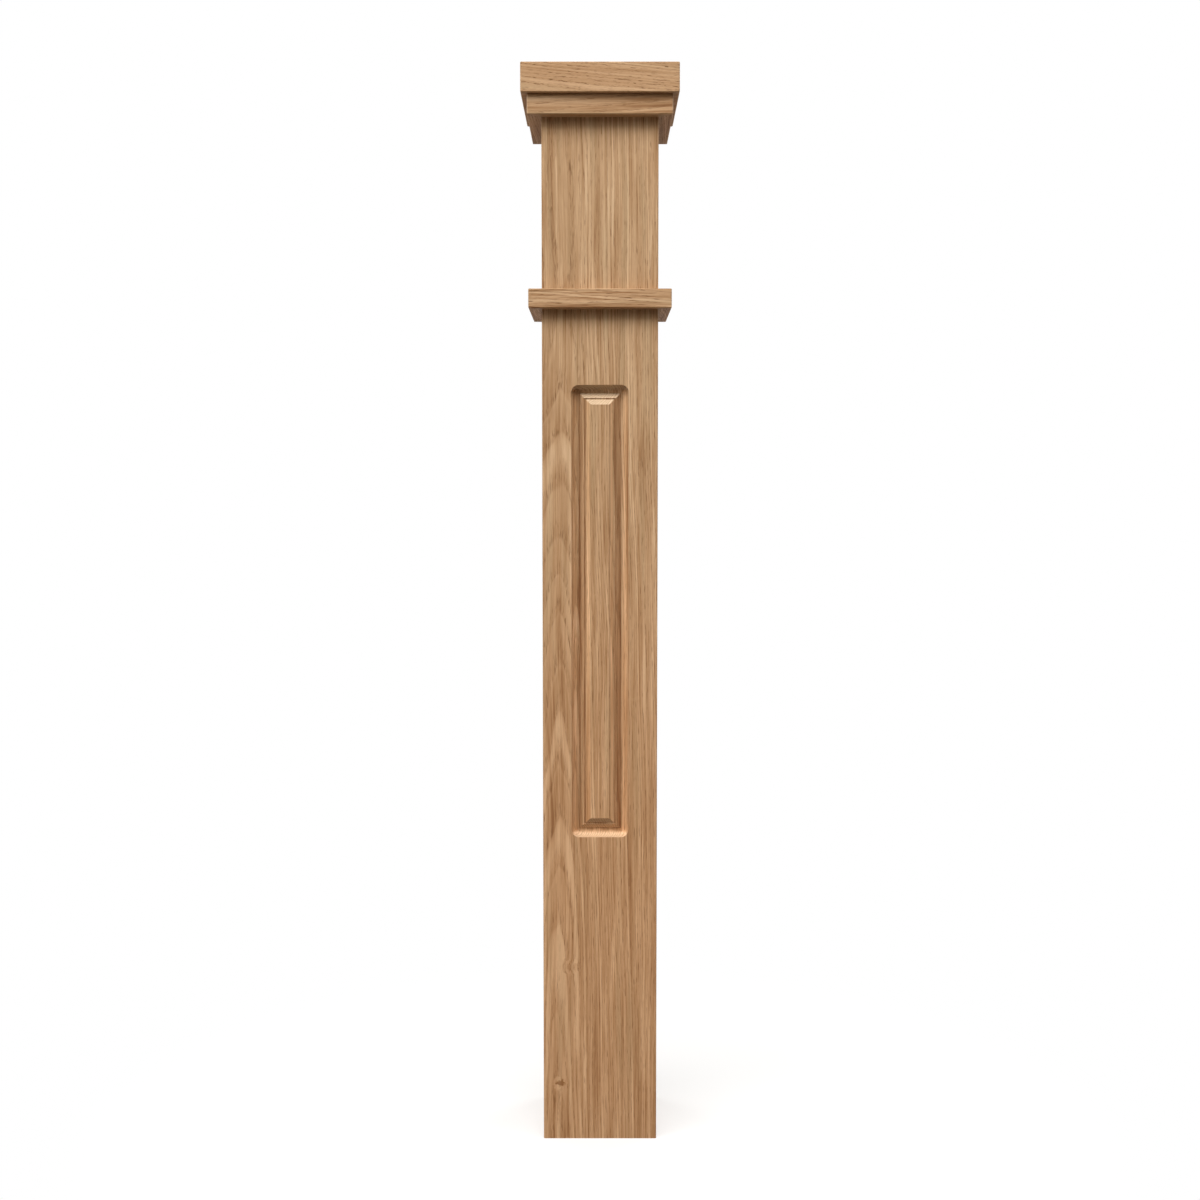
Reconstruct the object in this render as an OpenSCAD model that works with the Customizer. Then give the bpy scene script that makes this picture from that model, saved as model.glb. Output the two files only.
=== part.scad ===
// Box newel post in oak. A square hollow shaft of four mitred boards, each
// with a routed raised panel, carries a collar of four mitred strips, a mitred
// moulding and a flat square cap. The foot is at z = 0, the front faces -Y.

/* [Shaft] */
// Height of the whole post, from the foot to the top of the cap
post_h = 1422; // [1200:1:1650]
// Width of the square shaft across two opposite faces
shaft_w = 152; // [130:1:190]
// Thickness of the four shaft boards
board_t = 19; // [16:0.5:25]
// Radius of the eased outside edges
edge_r = 1.5; // [0.5:0.1:3]

/* [Cap] */
// Thickness of the cap plate
cap_t = 38; // [25:1:50]
// Reach of the cap plate past each face of the shaft
cap_over = 26; // [21:1:40]
// Height of the moulding under the cap plate
mould_h = 26; // [15:1:40]
// Reach of the moulding past each face of the shaft
mould_over = 18; // [10:1:23]

/* [Collar] */
// Length of plain shaft between the moulding and the collar
block_h = 221; // [120:1:280]
// Height of the collar
collar_h = 25; // [15:1:40]
// Reach of the collar past each face of the shaft
collar_over = 17; // [8:1:30]

/* [Panel] */
// Length of the routed panel
panel_l = 600; // [200:1:750]
// Width of the routed panel
panel_w = 75; // [60:1:100]
// Length of plain shaft between the collar and the panel
panel_drop = 98; // [40:1:200]
// Depth of the groove round the raised field
groove_d = 12.7; // [10:0.1:15]
// Radius of the round-nosed cutter that leaves the groove's outer wall
cutter_r = 9.5; // [5:0.5:9.5]
// Width of the flat strip at the foot of the outer bevel
floor_w = 0.8; // [0.2:0.1:2]
// Width of the outer bevel
outer_bevel_w = 6.5; // [4:0.1:9]
// Height of the outer bevel's crest above the groove's floor
outer_bevel_h = 7; // [3:0.1:8]
// Width of the quirk, the narrow sunk line between the two bevels
quirk_w = 1.8; // [1:0.1:3]
// Depth of the quirk below the crest of the outer bevel
quirk_d = 0.9; // [0.4:0.1:2]
// Width of the inner bevel, which rises to the field
inner_bevel_w = 7; // [4:0.1:9]

/* [Hidden] */
SIDES = ["front", "right", "back", "left"];
SHAFT_NODES = [for (side = SIDES) str("shaft_", side)];
COLLAR_NODES = [for (side = SIDES) str("collar_", side)];
MOULDING_NODES = [for (side = SIDES) str("moulding_", side)];

board_l = post_h - cap_t;
moulding_z = board_l - mould_h;
collar_z = moulding_z - block_h - collar_h;
panel_z = collar_z - panel_drop - panel_l / 2;
root_depth = (board_t - groove_d) / 2; // how far the raised panel runs on below the groove's floor
over_cut = 1; // how far a cutter stands clear of the face that it enters

oak = [0.78, 0.61, 0.43];
oak_light = [0.82, 0.66, 0.48];
oak_dark = [0.73, 0.56, 0.39];

// A w by h rectangle on the origin, with round corners of radius r
module round_rect(w, h, r) {
    square([w - 2 * r, h], center = true);
    square([w, h - 2 * r], center = true);
    for (x = [-1, 1], y = [-1, 1])
        translate([x * (w / 2 - r), y * (h / 2 - r)]) circle(r, $fn = 32);
}

// A square column on the post's axis with round corners
module eased_column(w, h) {
    translate([0, 0, -over_cut]) linear_extrude(h + 2 * over_cut) round_rect(w, w, edge_r);
}

// A square block on the post's axis with every outside edge eased
module eased_block(w, h) {
    intersection() {
        eased_column(w, h);
        intersection_for(turn = [0, 90])
            rotate([90, 0, turn]) translate([0, h / 2])
                linear_extrude(w + 2 * over_cut, center = true) round_rect(w, h, edge_r);
    }
}

// A mitred bar along X: its outer face on y = 0, t thick towards +Y
module mitred_bar(outer_l, t, h) {
    linear_extrude(h)
        polygon([[-outer_l / 2, 0], [outer_l / 2, 0], [outer_l / 2 - t, t], [t - outer_l / 2, t]]);
}

// Puts a bar, drawn with its outer face on y = 0, at one of the four sides
module on_side(side, reach) {
    rotate([0, 0, 90 * side]) translate([0, -reach, 0]) children();
}

// One of four mitred strips that stand out from the shaft
module trim_strip(side, over, h) {
    reach = shaft_w / 2 + over;
    intersection() {
        on_side(side, reach) mitred_bar(2 * reach, over, h);
        eased_block(2 * reach, h);
    }
}

// The room that the round-nosed cutter clears, with z = 0 on the board's face
module panel_pocket() {
    cove_z = cutter_r - groove_d;
    inner_w = panel_w - 2 * cutter_r;
    inner_l = panel_l - 2 * cutter_r;
    translate([0, 0, cove_z])
        linear_extrude(over_cut - cove_z) round_rect(panel_w, panel_l, cutter_r);
    translate([-inner_w / 2, -inner_l / 2, -groove_d]) cube([inner_w, inner_l, groove_d]);
    for (x = [-1, 1]) translate([x * inner_w / 2, 0, cove_z])
        rotate([90, 0, 0]) cylinder(r = cutter_r, h = inner_l, center = true, $fn = 48);
    for (y = [-1, 1]) translate([0, y * inner_l / 2, cove_z])
        rotate([0, 90, 0]) cylinder(r = cutter_r, h = inner_w, center = true, $fn = 48);
    for (x = [-1, 1], y = [-1, 1]) translate([x * inner_w / 2, y * inner_l / 2, cove_z])
        sphere(cutter_r, $fn = 48);
}

// A block whose four sides slope in by bevel_w between the heights low and high
module bevelled_block(w, l, bevel_w, low, high) {
    intersection() {
        rotate([90, 0, 0]) linear_extrude(l + 2 * over_cut, center = true)
            bevel_outline(w, bevel_w, low, high);
        rotate([90, 0, 90]) linear_extrude(w + 2 * over_cut, center = true)
            bevel_outline(l, bevel_w, low, high);
    }
}

// The cross-section of a bevelled block, rooted below the groove's floor
module bevel_outline(w, bevel_w, low, high) {
    root = -groove_d - root_depth;
    top_w = w - 2 * bevel_w;
    polygon([
        [-w / 2, root], [w / 2, root], [w / 2, low],
        [top_w / 2, high], [-top_w / 2, high], [-w / 2, low]
    ]);
}

// The raised middle: an outer bevel, a quirk, and an inner bevel up to the face
module raised_panel() {
    crest_z = outer_bevel_h - groove_d;
    foot_in = 2 * (cutter_r + floor_w);
    crest_in = foot_in + 2 * outer_bevel_w;
    field_in = crest_in + 2 * quirk_w;
    difference() {
        bevelled_block(panel_w - foot_in, panel_l - foot_in, outer_bevel_w, -groove_d, crest_z);
        translate([(crest_in - panel_w) / 2, (crest_in - panel_l) / 2, crest_z - quirk_d])
            cube([panel_w - crest_in, panel_l - crest_in, quirk_d + over_cut]);
    }
    bevelled_block(panel_w - field_in, panel_l - field_in, inner_bevel_w, crest_z - quirk_d, 0);
}

// One mitred shaft board with its routed panel
module shaft_board(side) {
    color(oak) on_side(side, shaft_w / 2) {
        difference() {
            intersection() {
                mitred_bar(shaft_w, board_t, board_l);
                translate([0, shaft_w / 2, 0]) eased_column(shaft_w, board_l);
            }
            translate([0, 0, panel_z]) rotate([90, 0, 0]) panel_pocket();
        }
        translate([0, 0, panel_z]) rotate([90, 0, 0]) raised_panel();
    }
}

module collar_strip(side) {
    color(oak_dark) translate([0, 0, collar_z]) trim_strip(side, collar_over, collar_h);
}

module moulding_strip(side) {
    color(oak_light) translate([0, 0, moulding_z]) trim_strip(side, mould_over, mould_h);
}

module cap_plate() {
    color(oak_dark) translate([0, 0, board_l]) eased_block(shaft_w + 2 * cap_over, cap_t);
}

for (side = [0:3]) {
    shaft_board(side);
    collar_strip(side);
    moulding_strip(side);
}
cap_plate();
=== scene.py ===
import math

import bmesh
import bpy
from mathutils import Euler, Matrix, Vector


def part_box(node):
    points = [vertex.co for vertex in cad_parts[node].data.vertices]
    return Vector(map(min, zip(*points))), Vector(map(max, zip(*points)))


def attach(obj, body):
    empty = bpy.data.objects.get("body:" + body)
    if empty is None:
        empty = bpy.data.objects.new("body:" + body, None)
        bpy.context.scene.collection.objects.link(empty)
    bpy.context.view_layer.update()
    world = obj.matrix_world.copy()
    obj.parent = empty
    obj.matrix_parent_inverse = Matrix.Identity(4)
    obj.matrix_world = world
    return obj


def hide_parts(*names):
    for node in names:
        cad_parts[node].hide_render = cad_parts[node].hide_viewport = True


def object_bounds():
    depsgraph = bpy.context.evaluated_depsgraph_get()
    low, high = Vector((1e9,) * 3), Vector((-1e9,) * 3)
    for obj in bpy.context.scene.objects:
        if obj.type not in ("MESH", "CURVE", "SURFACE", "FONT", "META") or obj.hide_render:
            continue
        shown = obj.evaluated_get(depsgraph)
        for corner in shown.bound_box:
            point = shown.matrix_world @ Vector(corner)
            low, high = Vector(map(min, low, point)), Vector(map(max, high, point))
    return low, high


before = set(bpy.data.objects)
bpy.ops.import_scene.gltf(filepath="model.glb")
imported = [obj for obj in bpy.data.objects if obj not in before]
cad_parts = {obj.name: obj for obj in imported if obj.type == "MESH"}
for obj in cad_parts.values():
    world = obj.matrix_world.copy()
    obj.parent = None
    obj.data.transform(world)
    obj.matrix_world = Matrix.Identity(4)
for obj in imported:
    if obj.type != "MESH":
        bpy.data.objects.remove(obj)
cadLow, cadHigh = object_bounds()
postHeight = cadHigh.z
sides = ["front", "right", "back", "left"]  # each one a quarter turn further round the post
mm = 0.001


class NodeBench:
    # Adds nodes to one tree. Each input takes a plain value or another node's output.
    def __init__(self, tree):
        self.tree = tree

    def add(self, kind, values=None, **settings):
        node = self.tree.nodes.new(kind)
        for name, value in settings.items():
            setattr(node, name, value)
        for key, value in (values or {}).items():
            self.plug(node.inputs[key], value)
        return node

    def plug(self, socket, value):
        if isinstance(value, bpy.types.NodeSocket):
            self.tree.links.new(value, socket)
        else:
            socket.default_value = value

    def math(self, operation, *values):
        return self.add("ShaderNodeMath", dict(enumerate(values)), operation=operation).outputs[0]

    def vector(self, operation, *values):
        node = self.add("ShaderNodeVectorMath", dict(enumerate(values)), operation=operation)
        return node.outputs["Value" if operation in ("LENGTH", "DOT_PRODUCT") else "Vector"]

    def join(self, x, y, z):
        return self.add("ShaderNodeCombineXYZ", {0: x, 1: y, 2: z}).outputs[0]

    def split(self, value):
        return self.add("ShaderNodeSeparateXYZ", {0: value}).outputs

    def noise(self, place, cell, detail=2.0):
        # cell is the size of one blotch along x, y and z
        values = {"Vector": self.vector("DIVIDE", place, cell), "Scale": 1.0, "Detail": detail}
        return self.add("ShaderNodeTexNoise", values).outputs

    def ease(self, value, low, high):
        values = {"Value": value, "From Min": low, "From Max": high}
        return self.add("ShaderNodeMapRange", values, interpolation_type="SMOOTHSTEP").outputs[0]

    def mix(self, amount, first, second):
        return self.add("ShaderNodeMix", {0: amount, 6: first, 7: second}, data_type="RGBA").outputs[2]

    def ramp(self, value, stops):
        node = self.add("ShaderNodeValToRGB", {"Fac": value})
        band = node.color_ramp
        while len(band.elements) < len(stops):
            band.elements.new(0.5)
        for element, (position, color) in zip(band.elements, stops):
            element.position = position
            element.color = color
        return node.outputs["Color"]


# Oak as a solid: rings round a pith, pores and rays inside the board, so that
# faces, bevels and sawn ends all cut through the same figure. Lengths are in mm.
oakTones = {
    "deep": (0.285, 0.140, 0.062, 1), "dark": (0.385, 0.212, 0.102, 1), "middle": (0.480, 0.286, 0.150, 1),
    "light": (0.590, 0.376, 0.214, 1), "pale": (0.660, 0.440, 0.262, 1), "pore": (0.170, 0.080, 0.034, 1),
    "olive": (0.455, 0.310, 0.172, 1), "ray": (0.600, 0.400, 0.230, 1),
    "sawnEnd": (0.695, 0.520, 0.350, 1), "sawnRing": (0.590, 0.415, 0.260, 1),
}
# the oak's colour is multiplied by these: boards go from foot to head between two heights, in mm
oakTints = {
    "foot": (1.025, 0.965, 0.93, 1), "head": (0.945, 0.985, 1.02, 1), "heights": (250.0, 1200.0),
    "trim": (0.95, 0.965, 0.985),
}
oakFigure = {
    # each cell is the size of one blotch: twice across the grain, then along it
    "swayCell": (110, 110, 480), "sway": 22, "waverCell": (22, 22, 190), "waver": 3.6, "pithBend": 160.0,
    "ringCell": (17, 17, 17), "ringLine": 40.0, "ringUneven": 3.0,
    # parts of one year's ring, from 0 at its start to 1 at its end
    "earlyOut": (0.05, 0.55), "earlyIn": (0.88, 1.0), "yearIn": (0.0, 0.45), "yearOut": (0.7, 1.0),
    "yearTone": 0.45, "earlyTone": -0.18, "ringTone": 0.07,
    # a cell, what part of its noise shows, and how strongly
    "finePoreCell": (0.5, 0.5, 14), "finePores": (0.55, 0.70), "finePoreShare": 0.6,
    "widePoreCell": (0.9, 0.9, 17), "widePores": (0.57, 0.67), "earlyPores": 0.75, "latePores": 0.25,
    "rayCell": (0.6, 42, 12), "rays": (0.64, 0.72), "rayShare": 0.12,
    "oliveCell": (14, 14, 300), "oliveFrom": (300, 0, 0), "olives": (0.52, 0.72), "oliveShare": 0.38,
    "bandCell": (10, 10, 330), "bands": 1.15, "fibreCell": (1.5, 1.5, 95), "fibre": 1.35,
    "strandCell": (4.2, 4.2, 140), "strands": 1.0, "streakBase": -1.75,
    # where each colour lies on the scale from dark to pale
    "scale": [(0, "deep"), (0.2, "dark"), (0.5, "middle"), (0.85, "light"), (1, "pale")],
    "poreDark": 0.62, "rough": 0.5, "fibreRough": 0.16, "poreRough": 0.2,
    "fibreHeight": 0.03, "poreHeight": -0.07,
}


def makeOakGrain():
    facts = oakFigure
    tree = bpy.data.node_groups.new("oakGrain", "ShaderNodeTree")
    for name, kind in (("Place", "Vector"), ("Sawn End", "Float"), ("Pith", "Vector"), ("Lean", "Vector"),
                       ("Seed", "Vector"), ("Ring Width", "Float"), ("Tone", "Float"), ("Streaks", "Float"),
                       ("Ring Mark", "Float"), ("Pores", "Float"), ("Pore Run", "Float")):
        tree.interface.new_socket(name=name, in_out="INPUT", socket_type="NodeSocket" + kind)
    for name, kind in (("Color", "Color"), ("Roughness", "Float"), ("Height", "Float")):
        tree.interface.new_socket(name=name, in_out="OUTPUT", socket_type="NodeSocket" + kind)
    bench = NodeBench(tree)
    given = bench.add("NodeGroupInput").outputs
    made = bench.add("NodeGroupOutput").inputs

    along = bench.split(given["Place"])["Z"]
    seeded = bench.vector("ADD", given["Place"], given["Seed"])

    def stray(cell, reach, detail):
        raw = bench.vector("SUBTRACT", bench.noise(seeded, cell, detail)["Color"], (0.5, 0.5, 0.5))
        return bench.vector("MULTIPLY", raw, (reach, reach, 0))

    swayed = bench.vector("ADD", given["Place"], stray(facts["swayCell"], facts["sway"], 1))
    grown = bench.vector("ADD", swayed, stray(facts["waverCell"], facts["waver"], 2))

    # the pith drifts with height, up to where the third part of its place says
    drifting = bench.math("SMOOTH_MIN", along, bench.split(given["Pith"])["Z"], facts["pithBend"])
    drift = bench.vector("MULTIPLY", given["Lean"], bench.join(drifting, drifting, 0.0))
    fromPith = bench.vector("SUBTRACT", grown, bench.vector("ADD", given["Pith"], drift))
    flat = bench.vector("MULTIPLY", fromPith, (1, 1, 0))
    radius = bench.vector("LENGTH", flat)
    spoke = bench.split(flat)
    arc = bench.math("MULTIPLY", bench.math("ARCTAN2", spoke["Y"], spoke["X"]), radius)

    # growth rings of uneven width
    radial = bench.vector("ADD", bench.join(radius, facts["ringLine"], 0.0), given["Seed"])
    uneven = bench.noise(radial, facts["ringCell"], 1)["Fac"]
    evenCount = bench.math("DIVIDE", radius, given["Ring Width"])
    count = bench.math("MULTIPLY_ADD", uneven, facts["ringUneven"], evenCount)
    phase = bench.math("FRACT", count)
    whole = bench.math("FLOOR", count)
    year = bench.add("ShaderNodeTexWhiteNoise", {"W": whole}, noise_dimensions="1D").outputs["Value"]
    fading = bench.math("SUBTRACT", 1.0, bench.ease(phase, *facts["earlyOut"]))
    early = bench.math("MAXIMUM", fading, bench.ease(phase, *facts["earlyIn"]))

    threads = bench.vector("ADD", grown, given["Seed"])
    poreThreads = bench.vector("DIVIDE", threads, bench.join(1.0, 1.0, given["Pore Run"]))
    finePores = bench.ease(bench.noise(poreThreads, facts["finePoreCell"], 1)["Fac"], *facts["finePores"])
    widePores = bench.ease(bench.noise(poreThreads, facts["widePoreCell"], 1)["Fac"], *facts["widePores"])
    poreShare = bench.math("MULTIPLY_ADD", early, facts["earlyPores"], facts["latePores"])
    pores = bench.math("MAXIMUM", widePores, bench.math("MULTIPLY", finePores, facts["finePoreShare"]))
    pores = bench.math("MULTIPLY", bench.math("MULTIPLY", pores, poreShare), given["Pores"])

    rayPlace = bench.vector("ADD", bench.join(arc, radius, along), given["Seed"])
    rays = bench.ease(bench.noise(rayPlace, facts["rayCell"], 1)["Fac"], *facts["rays"])

    bands = bench.noise(threads, facts["bandCell"], 2)["Fac"]
    fibre = bench.noise(threads, facts["fibreCell"], 2)["Fac"]
    strands = bench.noise(threads, facts["strandCell"], 1)["Fac"]
    streaks = bench.math("MULTIPLY_ADD", bands, facts["bands"], facts["streakBase"])
    streaks = bench.math("MULTIPLY_ADD", fibre, facts["fibre"], streaks)
    streaks = bench.math("MULTIPLY_ADD", strands, facts["strands"], streaks)
    # a year's own tone is full in the middle of its ring and fades at both edges, so no ring looks cut out
    yearEnd = bench.math("SUBTRACT", 1.0, bench.ease(phase, *facts["yearOut"]))
    middle = bench.math("MULTIPLY", bench.ease(phase, *facts["yearIn"]), yearEnd)
    yearTone = bench.math("MULTIPLY", bench.math("SUBTRACT", year, 0.5), middle)
    rings = bench.math("MULTIPLY_ADD", early, facts["earlyTone"], facts["ringTone"])
    rings = bench.math("MULTIPLY_ADD", yearTone, facts["yearTone"], rings)
    tone = bench.math("MULTIPLY_ADD", streaks, given["Streaks"], given["Tone"])
    tone = bench.math("MULTIPLY_ADD", rings, given["Ring Mark"], tone)
    wood = bench.ramp(tone, [(position, oakTones[name]) for position, name in facts["scale"]])
    olivePlace = bench.vector("ADD", threads, facts["oliveFrom"])
    olive = bench.ease(bench.noise(olivePlace, facts["oliveCell"], 1)["Fac"], *facts["olives"])
    wood = bench.mix(bench.math("MULTIPLY", olive, facts["oliveShare"]), wood, oakTones["olive"])
    wood = bench.mix(bench.math("MULTIPLY", rays, facts["rayShare"]), wood, oakTones["ray"])
    sawn = bench.mix(early, oakTones["sawnEnd"], oakTones["sawnRing"])
    wood = bench.mix(given["Sawn End"], wood, sawn)
    poreDark = bench.math("MULTIPLY", pores, facts["poreDark"])
    bench.plug(made["Color"], bench.mix(poreDark, wood, oakTones["pore"]))
    roughness = bench.math("MULTIPLY_ADD", fibre, facts["fibreRough"], facts["rough"])
    bench.plug(made["Roughness"], bench.math("MULTIPLY_ADD", pores, facts["poreRough"], roughness))
    height = bench.math("MULTIPLY", fibre, facts["fibreHeight"])
    bench.plug(made["Height"], bench.math("MULTIPLY_ADD", pores, facts["poreHeight"], height))
    return tree


oakGrain = makeOakGrain()


shaftBoard = {
    "thickness": 19 * mm, "ease": 1.5 * mm, "easeSteps": 4,
    "weld": 0.001 * mm,  # corners nearer than this become one
    "panelWidth": 75 * mm, "panelLength": 600 * mm,
    "panelDrop": 98 * mm,  # from the collar down to the panel
    # painted shade in the quirk and at the foot of the outer bevel, and painted light on the walls, in mm:
    # how far in from the outline, and how wide to each side
    "shadeLines": [(10.2, 1.6), (17.4, 1.7)], "shadeTone": 0.34,
    "paleCove": (4.5, 5.5), "paleBevel": (22.0, 4.0), "pale": 0.30,
    # the depths where the painted shade and the painted light set in, and where both end, in mm too
    "shadeDepth": (2.0, 4.0), "paleDepth": (0.2, 1.5), "lastDepth": 14.0,
    "groove": 12.7 * mm, "cutter": 9.5 * mm, "cornerSteps": 8, "coveSteps": 12,
    "lip": 0.4 * mm, "lipSteps": 3,
    # from the groove's floor up to the field, in mm: how far in from the outline, how far below the face
    "rise": [(10.3, 12.7), (16.55, 5.95), (16.72, 5.78), (16.8, 5.85), (16.8, 6.6), (18.6, 6.6),
             (25.3, 0.3), (25.55, 0.1), (25.9, 0)],
}


def panelMiddle():
    # how high the middle of the panel lies
    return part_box("collar_front")[0][2] - shaftBoard["panelDrop"] - shaftBoard["panelLength"] / 2


def bandAt(bench, value, line, width):
    # 1 on the line, easing to 0 at the width on each side
    off = bench.math("ABSOLUTE", bench.math("SUBTRACT", value, line))
    return bench.math("SUBTRACT", 1.0, bench.ease(off, 0.0, width))


def grooveLightAndShade(bench, place):
    # painted shade in the quirk and at the bevel's foot, and painted light making the side and bottom walls
    # paler
    facts = shaftBoard
    across, depth, up = [bench.split(place)[axis] for axis in "XYZ"]
    halfLength = facts["panelLength"] / 2 / mm
    aboveMiddle = bench.math("SUBTRACT", up, panelMiddle() / mm)
    fromSide = bench.math("SUBTRACT", facts["panelWidth"] / 2 / mm, bench.math("ABSOLUTE", across))
    fromEnd = bench.math("SUBTRACT", halfLength, bench.math("ABSOLUTE", aboveMiddle))
    fromTop = bench.math("SUBTRACT", halfLength, aboveMiddle)
    fromBottom = bench.math("ADD", halfLength, aboveMiddle)
    inset = bench.math("MINIMUM", fromSide, fromEnd)
    # painted shade: dark lines along the quirk and the foot of the outer bevel
    paintedShade = 0.0
    for line, width in facts["shadeLines"]:
        paintedShade = bench.math("MAXIMUM", bandAt(bench, inset, line, width), paintedShade)
    # the top wall stays as it is, and so does the bevel at either end
    nearest = bench.math("MINIMUM", fromSide, fromBottom)
    belowTop = bench.math("LESS_THAN", nearest, fromTop)
    betweenEnds = bench.math("LESS_THAN", fromSide, fromEnd)
    # painted light: paler coves and inner bevels along the sides and the bottom
    cove = bench.math("MULTIPLY", bandAt(bench, nearest, *facts["paleCove"]), belowTop)
    bevel = bench.math("MULTIPLY", bandAt(bench, fromSide, *facts["paleBevel"]), betweenEnds)
    inPanel = bench.math("LESS_THAN", depth, facts["lastDepth"])
    deep = bench.math("MULTIPLY", bench.ease(depth, *facts["shadeDepth"]), inPanel)
    cut = bench.math("MULTIPLY", bench.ease(depth, *facts["paleDepth"]), inPanel)
    pale = bench.math("MULTIPLY", bench.math("MAXIMUM", cove, bevel), cut)
    return bench.math("MULTIPLY", paintedShade, deep), bench.math("MULTIPLY", pale, facts["pale"])


oakFinish = {
    "endOn": (0.25, 0.75), "sawnEnd": 0.8,  # how squarely the grain meets the surface before it looks sawn
    "raggedCell": (3, 3, 3), "ragged": (9, 0, 9), "knotNarrow": 0.75, "knotHeart": 4.0,
    "bump": 0.6, "specular": 0.08,
}


def makeOak(name, turn, home, grainAlongX, look):
    # turn faces the piece forwards, home is the point that becomes the middle of its face
    axes = Matrix.Rotation(-turn, 3, "Z")
    if grainAlongX:
        axes = Matrix.Rotation(math.radians(90), 3, "Y") @ axes
    axes = Euler([math.radians(angle) for angle in look.get("skew", (0, 0, 0))]).to_matrix() @ axes
    material = bpy.data.materials.new(name)
    material.use_nodes = True
    bench = NodeBench(material.node_tree)
    coords = bench.add("ShaderNodeTexCoord").outputs
    place = bench.add("ShaderNodeMapping", {
        "Vector": coords["Object"], "Scale": (1 / mm,) * 3,
        "Rotation": axes.to_euler(), "Location": -(axes @ Vector(home)) / mm,
    }).outputs[0]
    tone = look["tone"]
    tint = oakTints["trim"]
    if not grainAlongX:
        # painted shade and painted light in the panel's groove
        paintedShade, pale = grooveLightAndShade(bench, place)
        tone = bench.math("MULTIPLY_ADD", paintedShade, -shaftBoard["shadeTone"], tone)
        risen = bench.ease(bench.split(place)["Z"], *oakTints["heights"])
        tint = bench.mix(risen, oakTints["foot"], oakTints["head"])
        # painted light: the groove's side walls and inner bevels are made paler
        tint = bench.vector("MULTIPLY", tint, bench.math("ADD", pale, 1.0))
    blotches = bench.noise(place, oakFinish["raggedCell"], 2)["Color"]
    ragged = bench.vector("SUBTRACT", blotches, (0.5, 0.5, 0.5))
    ragged = bench.vector("MULTIPLY", ragged, oakFinish["ragged"])
    knotPlace = bench.vector("ADD", place, ragged)
    for x, z, size, bulge, darkness in look.get("knots", []):
        off = bench.vector("SUBTRACT", knotPlace, (x, 0, z))
        off = bench.vector("MULTIPLY", off, (oakFinish["knotNarrow"] / size, 0, 1 / size))
        near = bench.math("EXPONENT", bench.math("MULTIPLY", bench.vector("DOT_PRODUCT", off, off), -1.0))
        heart = bench.math("POWER", near, oakFinish["knotHeart"])
        place = bench.vector("ADD", place, bench.join(0.0, bench.math("MULTIPLY", near, bulge), 0.0))
        tone = bench.math("MULTIPLY_ADD", heart, -darkness, tone)
    grainAxis = axes.transposed() @ Vector((0, 0, 1))
    endOn = bench.math("ABSOLUTE", bench.vector("DOT_PRODUCT", coords["Normal"], grainAxis))
    sawn = bench.ease(endOn, *oakFinish["endOn"])
    sawnEnd = bench.math("MULTIPLY", sawn, look.get("sawnEnd", oakFinish["sawnEnd"]))
    oak = bench.add("ShaderNodeGroup", node_tree=oakGrain)
    for key, value in (("Place", place), ("Sawn End", sawnEnd), ("Pith", look["pith"]),
                       ("Lean", look["lean"]), ("Seed", look["seed"]), ("Ring Width", look["ringWidth"]),
                       ("Tone", tone), ("Streaks", look.get("streaks", 1.0)),
                       ("Ring Mark", look.get("ringMark", 1.0)), ("Pores", look.get("pores", 1.0)),
                       ("Pore Run", look.get("poreRun", 1.0))):
        bench.plug(oak.inputs[key], value)
    bump = bench.add("ShaderNodeBump", {
        "Height": oak.outputs["Height"], "Strength": oakFinish["bump"], "Distance": mm})
    shader = material.node_tree.nodes["Principled BSDF"]
    tinted = bench.vector("MULTIPLY", oak.outputs["Color"], tint)
    for key, value in (("Base Color", tinted), ("Roughness", oak.outputs["Roughness"]),
                       ("Normal", bump.outputs[0]), ("Specular IOR Level", oakFinish["specular"])):
        bench.plug(shader.inputs[key], value)
    return material


# pith: where the tree's heart lies, across and behind the middle of the face, and up to what height it
# drifts by lean for each mm
shaftLooks = {
    "front": {"pith": (-58, 34, 1150), "lean": (0.0, 0.04, 0), "ringWidth": 3.0, "seed": (333, 505, 640),
              "tone": 0.565, "ringMark": 1.15, "streaks": 0.9,
              # across, up, size, how far the rings bulge round it, how dark
              "knots": [(-54, 77, 6.5, 1.6, 2.0), (-40, 237, 8, -3, 0.2)]},
    "right": {"pith": (20, 90, 900), "lean": (-0.01, -0.02, 0), "ringWidth": 2.8, "seed": (540, 80, 90),
              "tone": 0.54},
    "back": {"pith": (-12, 60, 1400), "lean": (0.01, 0.03, 0), "ringWidth": 3.0, "seed": (77, 930, 45),
             "tone": 0.50},
    "left": {"pith": (60, 110, 900), "lean": (-0.02, 0.0, 0), "ringWidth": 2.4, "seed": (240, 31, 720),
             "tone": 0.56},
}
collarLook = {"pith": (30, 44, 1000), "lean": (0.05, 0.02, 0), "ringWidth": 2.4, "seed": (63, 410, 5),
              "tone": 0.54, "streaks": 1.3, "ringMark": 1.6, "pores": 1.6, "poreRun": 0.9}
mouldingLook = {"pith": (-20, 70, 1000), "lean": (-0.04, 0.03, 0), "ringWidth": 2.8, "seed": (8, 96, 215),
                "tone": 0.58, "streaks": 1.0, "ringMark": 1.4, "pores": 1.1, "poreRun": 0.7}
capLook = {"pith": (-60, 120, 1000), "lean": (0.03, 0.0, 0), "ringWidth": 2.6, "seed": (150, 14, 3),
           "skew": (0, -5, 0), "tone": 0.60, "streaks": 0.5, "ringMark": 1.0, "pores": 1.55, "poreRun": 0.45,
           "sawnEnd": 0.25}
print("oak made")

crispAngle = math.radians(35)  # edges sharper than this stay crisp


def sideTurn(side):
    return sides.index(side) * math.pi / 2


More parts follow.
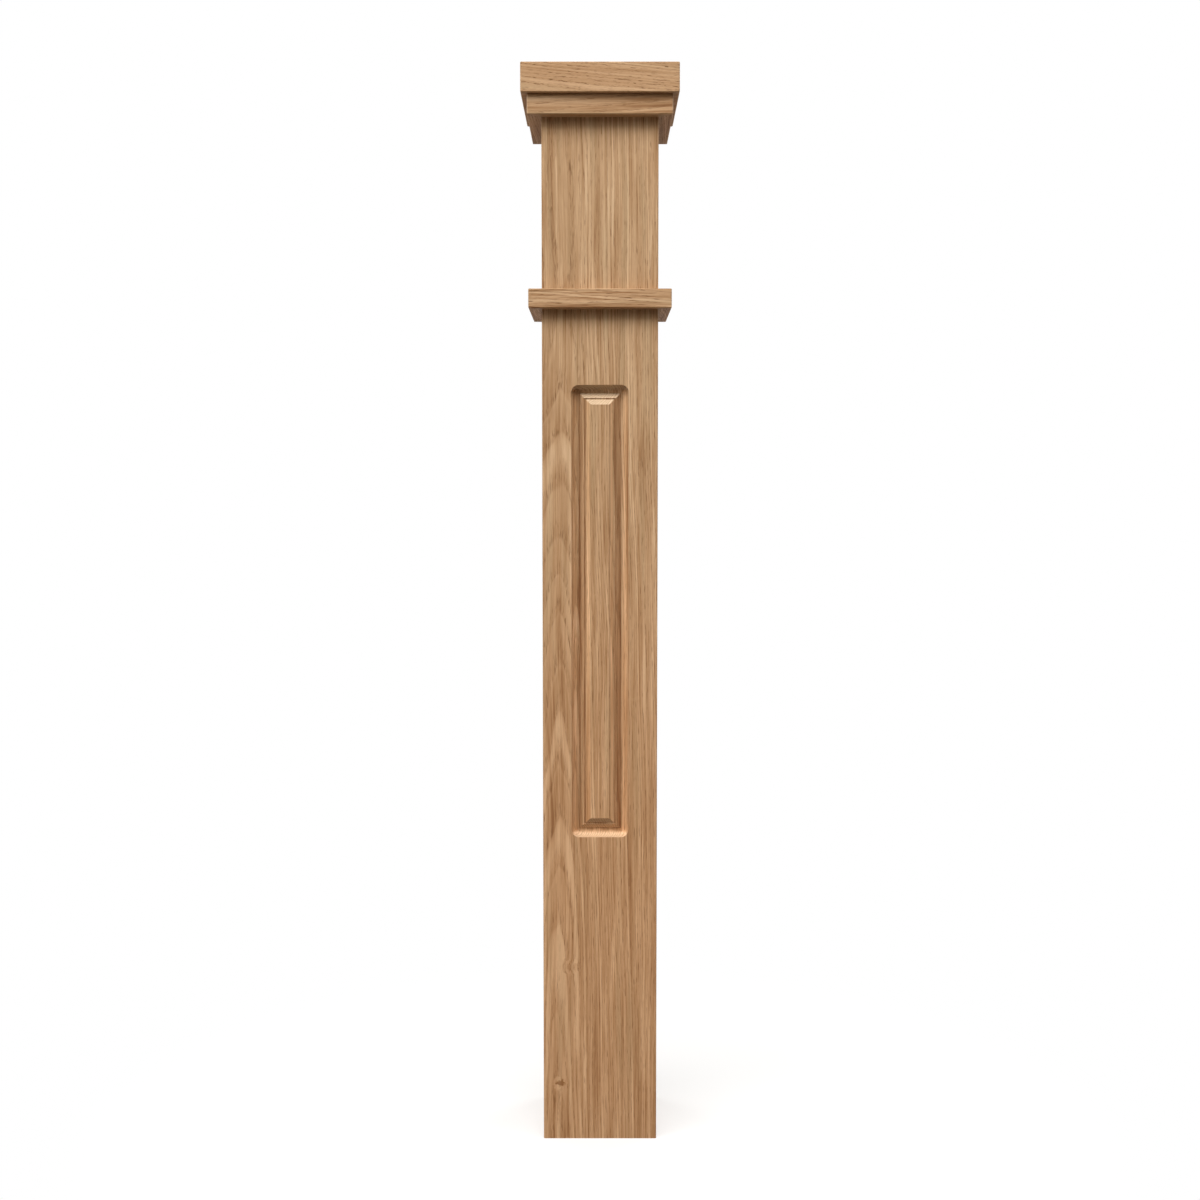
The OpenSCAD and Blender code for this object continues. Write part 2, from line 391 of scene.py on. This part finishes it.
def faceMiddle(node):
    # the point in the middle of a board's or strip's outer face
    low, high = [Vector(corner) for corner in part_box(node)]
    outward = Matrix.Rotation(sideTurn(node.split("_")[1]), 3, "Z") @ Vector((0, -1, 0))
    return Vector([(low[i] + high[i] + outward[i] * (high[i] - low[i])) / 2 for i in range(3)])


def finishPiece(name, mesh, material, node):
    # smooth on rounds and coves, crisp on arrises, and flat faces kept flat
    mesh.materials.clear()
    mesh.materials.append(material)
    mesh.polygons.foreach_set("use_smooth", [True] * len(mesh.polygons))
    mesh.set_sharp_from_angle(angle=crispAngle)
    piece = bpy.data.objects.new(name, mesh)
    bpy.context.scene.collection.objects.link(piece)
    shading = piece.modifiers.new("flatFaces", "WEIGHTED_NORMAL")
    shading.keep_sharp = True
    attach(piece, "root")
    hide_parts(node)


def panelProfile():
    # inset and depth of each ring, from the lip down the wall and the cove, then up to the field
    facts = shaftBoard
    lip, cutter, wallFoot = facts["lip"], facts["cutter"], facts["groove"] - facts["cutter"]
    profile = []
    for step in range(facts["lipSteps"] + 1):
        angle = step / facts["lipSteps"] * math.pi / 2
        profile.append((-lip * (1 - math.sin(angle)), lip * (1 - math.cos(angle))))
    for step in range(facts["coveSteps"] + 1):
        angle = step / facts["coveSteps"] * math.pi / 2
        profile.append((cutter * (1 - math.cos(angle)), wallFoot + cutter * math.sin(angle)))
    return profile + [(inset * mm, depth * mm) for inset, depth in facts["rise"]]


def panelRing(inset):
    # a rectangle with round corners, as points in the plane of the face
    facts = shaftBoard
    radius = max(facts["cutter"] - inset, 0)
    reachX = facts["panelWidth"] / 2 - inset - radius
    reachZ = facts["panelLength"] / 2 - inset - radius
    points = []
    for corner, (signX, signZ) in enumerate([(1, 1), (-1, 1), (-1, -1), (1, -1)]):
        for step in range(facts["cornerSteps"] + 1):
            angle = (corner + step / facts["cornerSteps"]) * math.pi / 2
            x = signX * reachX + radius * math.cos(angle)
            points.append((x, signZ * reachZ + radius * math.sin(angle)))
    return points


def boardSection():
    # from one mitre round the eased corner to the face's edge, the same on the other side, then the inside
    facts = shaftBoard
    # half the post's width, from its face: the board's own box is narrower, because its mitres are eased
    half = -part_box("shaft_front")[0][1]
    ease, steps = facts["ease"], facts["easeSteps"]
    section = []
    for step in range(steps + 1):
        angle = (1 - step / steps) * math.pi / 4
        section.append((-(half - ease) - ease * math.sin(angle), ease * (1 - math.cos(angle))))
    section += [(-x, depth) for x, depth in reversed(section)]
    inner = half - facts["thickness"]
    return section + [(inner, facts["thickness"]), (-inner, facts["thickness"])]


def makeShaftBoard(side):
    facts = shaftBoard
    low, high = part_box("shaft_front")
    shape = bmesh.new()

    def spot(x, depth, z):
        return shape.verts.new((x, low[1] + depth, z))

    section = boardSection()
    footRing = [spot(x, depth, low[2]) for x, depth in section]
    topRing = [spot(x, depth, high[2]) for x, depth in section]
    left, right = facts["easeSteps"], facts["easeSteps"] + 1  # the edges of the flat face
    for i in range(len(section)):
        j = (i + 1) % len(section)
        if i != left:
            shape.faces.new((footRing[i], footRing[j], topRing[j], topRing[i]))
    shape.faces.new(footRing)
    shape.faces.new(topRing)

    rings = []
    for inset, depth in panelProfile():
        rings.append([spot(x, depth, panelMiddle() + z) for x, z in panelRing(inset)])
    for outer, nearer in zip(rings, rings[1:]):
        for i in range(len(outer)):
            j = (i + 1) % len(outer)
            shape.faces.new((outer[i], outer[j], nearer[j], nearer[i]))
    shape.faces.new(rings[-1])

    # the flat face round the panel: a fan at each corner and a long face along each side
    perCorner = facts["cornerSteps"] + 1
    corners = [topRing[right], topRing[left], footRing[left], footRing[right]]
    for i, corner in enumerate(corners):
        arc = rings[0][i * perCorner:(i + 1) * perCorner]
        for first, second in zip(arc, arc[1:]):
            shape.faces.new((corner, second, first))
        nextArc = rings[0][(i + 1) * perCorner % len(rings[0])]
        shape.faces.new((corner, corners[(i + 1) % 4], nextArc, arc[-1]))
    bmesh.ops.remove_doubles(shape, verts=shape.verts, dist=facts["weld"])
    bmesh.ops.recalc_face_normals(shape, faces=shape.faces)
    bmesh.ops.rotate(shape, verts=shape.verts, matrix=Matrix.Rotation(sideTurn(side), 3, "Z"))
    mesh = bpy.data.meshes.new(f"{side}Board")
    shape.to_mesh(mesh)
    shape.free()
    home = faceMiddle(f"shaft_{side}")
    home.z = low[2]
    material = makeOak(f"shaftOak{side.title()}", sideTurn(side), home, False, shaftLooks[side])
    finishPiece(f"{side}Board", mesh, material, f"shaft_{side}")


for side in sides:
    makeShaftBoard(side)
print("shaft boards made")

# joint: how far each mitre stays back, so that it shows as a hairline
# seedStep: from one side's grain to the next
mitredStrip = {"ease": 1.5 * mm, "joint": 0.04 * mm, "easeSteps": 6, "seedStep": 137}


def makeStripTree():
    # one strip of a band round the post: an eased section swept along x, cut at both ends by the mitres
    tree = bpy.data.node_groups.new("mitredStrip", "GeometryNodeTree")
    tree.interface.new_socket(name="Geometry", in_out="INPUT", socket_type="NodeSocketGeometry")
    for name in ("Reach", "Depth", "Height", "Ease", "Joint", "Turn", "Base"):
        tree.interface.new_socket(name=name, in_out="INPUT", socket_type="NodeSocketFloat")
    tree.interface.new_socket(name="Ease Steps", in_out="INPUT", socket_type="NodeSocketInt")
    tree.interface.new_socket(name="Oak", in_out="INPUT", socket_type="NodeSocketMaterial")
    tree.interface.new_socket(name="Geometry", in_out="OUTPUT", socket_type="NodeSocketGeometry")
    bench = NodeBench(tree)
    given = bench.add("NodeGroupInput").outputs
    made = bench.add("NodeGroupOutput").inputs

    def keep(geometry, kind, value):
        node = bench.add("GeometryNodeCaptureAttribute", {"Geometry": geometry}, domain="POINT")
        node.capture_items.new(kind, "kept")
        bench.plug(node.inputs["kept"], value)
        return node.outputs["Geometry"], node.outputs["kept"]

    # the section: x is the depth behind the outer face, y the height, and only the outer arrises are eased
    where = bench.add("GeometryNodeInputPosition").outputs[0]
    block = bench.add("GeometryNodeCurvePrimitiveQuadrilateral", {
        "Width": given["Depth"], "Height": given["Height"]})
    outerOnly = bench.math("MULTIPLY", bench.math("LESS_THAN", bench.split(where)["X"], 0.0), given["Ease"])
    eased = bench.add("GeometryNodeFilletCurve", {
        "Curve": block.outputs[0], "Count": given["Ease Steps"], "Radius": outerOnly}, mode="POLY")
    section, sectionPlace = keep(eased.outputs[0], "VECTOR", where)

    # the stations along the strip: close together in the eased ends, none between
    lastStation = bench.math("MULTIPLY_ADD", given["Ease Steps"], 2.0, 1.0)
    line = bench.add("GeometryNodeCurvePrimitiveLine")
    spaced = bench.add("GeometryNodeResampleCurve", {
        "Curve": line.outputs[0], "Count": bench.math("ADD", lastStation, 1.0)})
    path, station = keep(spaced.outputs[0], "FLOAT", bench.add("GeometryNodeInputIndex").outputs[0])
    swept = bench.add("GeometryNodeCurveToMesh", {
        "Curve": path, "Profile Curve": section, "Fill Caps": True})

    fromEnd = bench.math("MINIMUM", station, bench.math("SUBTRACT", lastStation, station))
    rest = bench.math("SUBTRACT", 1.0, bench.math("DIVIDE", fromEnd, given["Ease Steps"]))
    angle = bench.math("MULTIPLY", bench.math("MAXIMUM", rest, 0.0), math.pi / 4)
    inBy = bench.math("MULTIPLY", given["Ease"], bench.math("SUBTRACT", 1.0, bench.math("COSINE", angle)))
    outBy = bench.math("MULTIPLY", given["Ease"], bench.math("SUBTRACT", bench.math("SINE", angle), 1.0))
    place = bench.split(sectionPlace)
    depth = bench.math("MAXIMUM", bench.math("MULTIPLY_ADD", given["Depth"], 0.5, place["X"]), inBy)
    side = bench.math("SIGN", bench.math("MULTIPLY_ADD", lastStation, -0.5, station))
    end = bench.math("ADD", bench.math("ADD", given["Reach"], outBy), bench.math("SUBTRACT", inBy, depth))
    x = bench.math("MULTIPLY", side, bench.math("SUBTRACT", end, given["Joint"]))
    z = bench.math("ADD", bench.math("MULTIPLY_ADD", given["Height"], 0.5, place["Y"]), given["Base"])
    y = bench.math("SUBTRACT", depth, given["Reach"])
    cut = bench.add("GeometryNodeSetPosition", {
        "Geometry": swept.outputs[0], "Position": bench.join(x, y, z)})
    turned = bench.add("GeometryNodeTransform", {
        "Geometry": cut.outputs[0], "Rotation": bench.join(0.0, 0.0, given["Turn"])})
    real = bench.add("GeometryNodeRealizeInstances", {"Geometry": turned.outputs[0]})
    oaked = bench.add("GeometryNodeSetMaterial", {"Geometry": real.outputs[0], "Material": given["Oak"]})
    bench.plug(made["Geometry"], oaked.outputs[0])
    return tree


stripTree = makeStripTree()
stripSockets = stripTree.interface.items_tree
stripInputs = {item.name: item.identifier for item in stripSockets if item.in_out == "INPUT"}


def makeStrip(band, side, look):
    node = f"{band}_{side}"
    low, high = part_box(f"{band}_front")
    seedMove = mitredStrip["seedStep"] * sides.index(side)
    look = dict(look, seed=tuple(part + seedMove for part in look["seed"]))
    material = makeOak(f"{band}Oak{side.title()}", sideTurn(side), faceMiddle(node), True, look)
    carrier = bpy.data.objects.new("stripCarrier", bpy.data.meshes.new("stripCarrier"))
    bpy.context.scene.collection.objects.link(carrier)
    sweep = carrier.modifiers.new("mitredStrip", "NODES")
    sweep.node_group = stripTree
    values = {"Reach": -low[1], "Depth": high[1] - low[1], "Height": high[2] - low[2], "Base": low[2],
              "Ease": mitredStrip["ease"], "Ease Steps": mitredStrip["easeSteps"],
              "Joint": mitredStrip["joint"], "Turn": sideTurn(side), "Oak": material}
    for name, value in values.items():
        sweep[stripInputs[name]] = value
    depsgraph = bpy.context.evaluated_depsgraph_get()
    mesh = bpy.data.meshes.new_from_object(carrier.evaluated_get(depsgraph))
    carrier.modifiers.remove(sweep)
    bpy.data.objects.remove(carrier)
    mesh.name = f"{side}{band.title()}"
    finishPiece(mesh.name, mesh, material, node)


for side in sides:
    makeStrip("collar", side, collarLook)
    makeStrip("moulding", side, mouldingLook)
print("collar and moulding made")

capPlate = {"ease": 1.5 * mm, "easeSteps": 5}


def makeCapPlate():
    low, high = [Vector(corner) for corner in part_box("cap_plate")]
    shape = bmesh.new()
    bmesh.ops.create_cube(shape, size=1)
    for corner in shape.verts:
        corner.co = [(low[i] + high[i]) / 2 + corner.co[i] * (high[i] - low[i]) for i in range(3)]
    bmesh.ops.bevel(shape, geom=shape.edges[:], offset=capPlate["ease"], offset_type="OFFSET",
                    segments=capPlate["easeSteps"], profile=0.5, affect="EDGES")
    bmesh.ops.recalc_face_normals(shape, faces=shape.faces)
    mesh = bpy.data.meshes.new("capPlate")
    shape.to_mesh(mesh)
    shape.free()
    home = (0, low.y, (low.z + high.z) / 2)
    finishPiece("capPlate", mesh, makeOak("capOak", 0, home, True, capLook), "cap_plate")


makeCapPlate()
print("cap made")

studio = {
    # places as shares of the post's height
    "lens": 48.33, "sensor": 36, "distance": 1.5471, "eyeHeight": 0.6253, "aimHeight": 0.5106, "lampAim": 0.6,
    # turn: degrees to the right of the front, rise: degrees above the level
    "key": {"turn": -52, "rise": 31, "size": 4.5, "energy": 254, "color": (1.0, 0.98, 0.95)},
    "front": {"turn": 0, "rise": 55, "size": 4.0, "energy": 262, "color": (1.0, 0.99, 0.97)},
    "fill": {"turn": 61, "rise": 40, "size": 4.0, "energy": 128, "color": (1.0, 0.98, 0.96)},
    "rightBack": {"turn": 130, "rise": 18, "size": 4.0, "energy": 190, "color": (1.0, 0.98, 0.95)},
    "leftBack": {"turn": -130, "rise": 18, "size": 4.0, "energy": 150, "color": (1.0, 0.98, 0.95)},
    "lampDistance": 6.0, "sky": (1.0, 0.95, 0.87, 1), "skyStrength": 0.085,
    # the floor turns white between two distances from the post, and is partly white even beside it
    "floorRadius": 6.0, "floorSteps": 96, "paleFrom": 0.12, "paleTo": 0.75, "paleNear": 0.55,
    "floorSeen": (0.9, 0.9, 0.9, 1), "floorGlow": (0.12, 0.095, 0.068, 1), "floorRough": 0.9,
    "white": (1, 1, 1, 1),
}


def aim(thing, target):
    thing.rotation_euler = (Vector(target) - thing.location).to_track_quat("-Z", "Y").to_euler()


def makeCamera():
    data = bpy.data.cameras.new("camera")
    data.lens = studio["lens"]
    data.sensor_width = studio["sensor"]
    camera = bpy.data.objects.new("camera", data)
    camera.location = (0, -studio["distance"] * postHeight, studio["eyeHeight"] * postHeight)
    aim(camera, (0, 0, studio["aimHeight"] * postHeight))
    bpy.context.scene.collection.objects.link(camera)
    bpy.context.scene.camera = camera


def makeLamp(name):
    facts = studio[name]
    data = bpy.data.lights.new(name, "AREA")
    data.shape = "DISK"
    data.size = facts["size"]
    data.energy = facts["energy"]
    data.color = facts["color"]
    lamp = bpy.data.objects.new(name, data)
    target = Vector((0, 0, studio["lampAim"] * postHeight))
    turn, rise = math.radians(facts["turn"]), math.radians(facts["rise"])
    toward = Vector((math.sin(turn) * math.cos(rise), -math.cos(turn) * math.cos(rise), math.sin(rise)))
    lamp.location = target + toward * studio["lampDistance"]
    aim(lamp, target)
    bpy.context.scene.collection.objects.link(lamp)


def seenDirectly(bench):
    # 1 for what the camera sees, straight on, in a reflection or through glass
    path = bench.add("ShaderNodeLightPath").outputs
    straight = bench.math("MAXIMUM", path["Is Camera Ray"], path["Is Glossy Ray"])
    return bench.math("MAXIMUM", straight, path["Is Transmission Ray"])


def makeSky():
    world = bpy.data.worlds.new("sky")
    world.use_nodes = True
    bpy.context.scene.world = world
    bench = NodeBench(world.node_tree)
    background = world.node_tree.nodes["Background"]
    seen = seenDirectly(bench)
    bench.plug(background.inputs["Color"], bench.mix(seen, studio["sky"], studio["white"]))
    strength = bench.add("ShaderNodeMapRange", {
        "Value": seen, "To Min": studio["skyStrength"], "To Max": 1.0})
    bench.plug(background.inputs["Strength"], strength.outputs[0])


def makeFloor():
    # pale near the post, where it takes the shadow, and plain white further out
    mesh = bpy.data.meshes.new("floor")
    shape = bmesh.new()
    bmesh.ops.create_circle(
        shape, cap_ends=True, segments=studio["floorSteps"], radius=studio["floorRadius"])
    shape.to_mesh(mesh)
    shape.free()
    floor = bpy.data.objects.new("floor", mesh)
    floor.location.z = cadLow.z
    bpy.context.scene.collection.objects.link(floor)
    material = bpy.data.materials.new("paleFloor")
    material.use_nodes = True
    mesh.materials.append(material)
    tree = material.node_tree
    bench = NodeBench(tree)
    shader = tree.nodes["Principled BSDF"]
    shader.inputs["Roughness"].default_value = studio["floorRough"]
    seen = seenDirectly(bench)
    bench.plug(shader.inputs["Base Color"], bench.mix(seen, studio["floorGlow"], studio["floorSeen"]))
    place = bench.add("ShaderNodeTexCoord").outputs["Object"]
    away = bench.ease(bench.vector("LENGTH", place), studio["paleFrom"], studio["paleTo"])
    away = bench.math("MULTIPLY_ADD", away, 1 - studio["paleNear"], studio["paleNear"])
    white = bench.add("ShaderNodeEmission", {"Color": studio["white"], "Strength": 1.0})
    mixed = bench.add("ShaderNodeMixShader", {
        0: bench.math("MULTIPLY", away, seen), 1: shader.outputs[0], 2: white.outputs[0]})
    tree.links.new(mixed.outputs[0], tree.nodes["Material Output"].inputs["Surface"])


makeCamera()
for name in ("key", "front", "fill", "rightBack", "leftBack"):
    makeLamp(name)
makeSky()
makeFloor()
bpy.context.scene.view_settings.view_transform = "Standard"
print("studio made")
